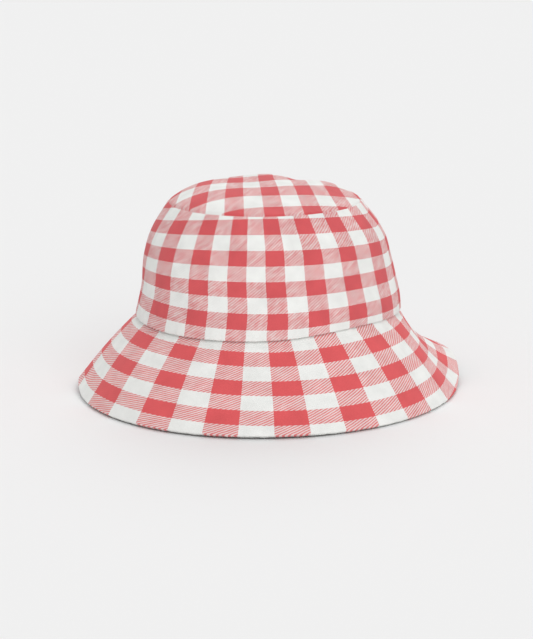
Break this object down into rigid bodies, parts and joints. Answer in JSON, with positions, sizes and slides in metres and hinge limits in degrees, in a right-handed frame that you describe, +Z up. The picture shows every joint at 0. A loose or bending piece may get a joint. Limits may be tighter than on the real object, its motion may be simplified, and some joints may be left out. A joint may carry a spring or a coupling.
{
  "type": "bucket hat",
  "caption": "Soft lined bucket hat with an oval top panel, a tapered crown band and a sloping stitched brim in checked twill, with a sweatband and a hanging care label inside.",
  "frame": {"origin": "centre of the hat's outline, on the plane that the brim's edge stands on", "axes": "+Z up through the crown, -Y towards the front of the hat, +X towards the wearer's left"},
  "size_m": [0.253, 0.283, 0.1385],
  "materials": {
    "checked_twill": "matte printed cotton twill in a red and white check",
    "checked_twill_under": "matte printed cotton twill in a red and white check",
    "interlining": "matte non-woven stiffener",
    "lining": "smooth plain woven lining",
    "sweatband": "matte twill tape",
    "label_satin": "soft satin ribbon, blank",
    "thread": "spun polyester thread"
  },
  "bodies": {
    "root": {"crown_top_panel": "checked_twill", "crown_side_front": "checked_twill", "crown_side_back": "checked_twill", "brim_upper_front": "checked_twill", "brim_upper_back": "checked_twill", "brim_interlining_front": "interlining", "brim_interlining_back": "interlining", "brim_under_front": "checked_twill_under", "brim_under_back": "checked_twill_under", "lining_top": "lining", "lining_side_front": "lining", "lining_side_back": "lining", "sweatband": "sweatband", "woven_label": "label_satin", "care_label_header": "label_satin", "top_seam_thread": "thread", "brim_join_thread": "thread", "brim_edge_thread": "thread", "sweatband_thread": "thread", "lining_seam_thread": "thread", "crown_side_seam_threads": "thread", "brim_side_seam_threads": "thread"},
    "care_label": {"care_label": "label_satin"}
  },
  "joints": [
    {"name": "care_label_hinge", "type": "hinge", "parent": "root", "child": "care_label", "pos_m": [-0.07599, 0, 0.095], "axis": [0, -1, 0], "range_deg": [-4, 100]}
  ]
}
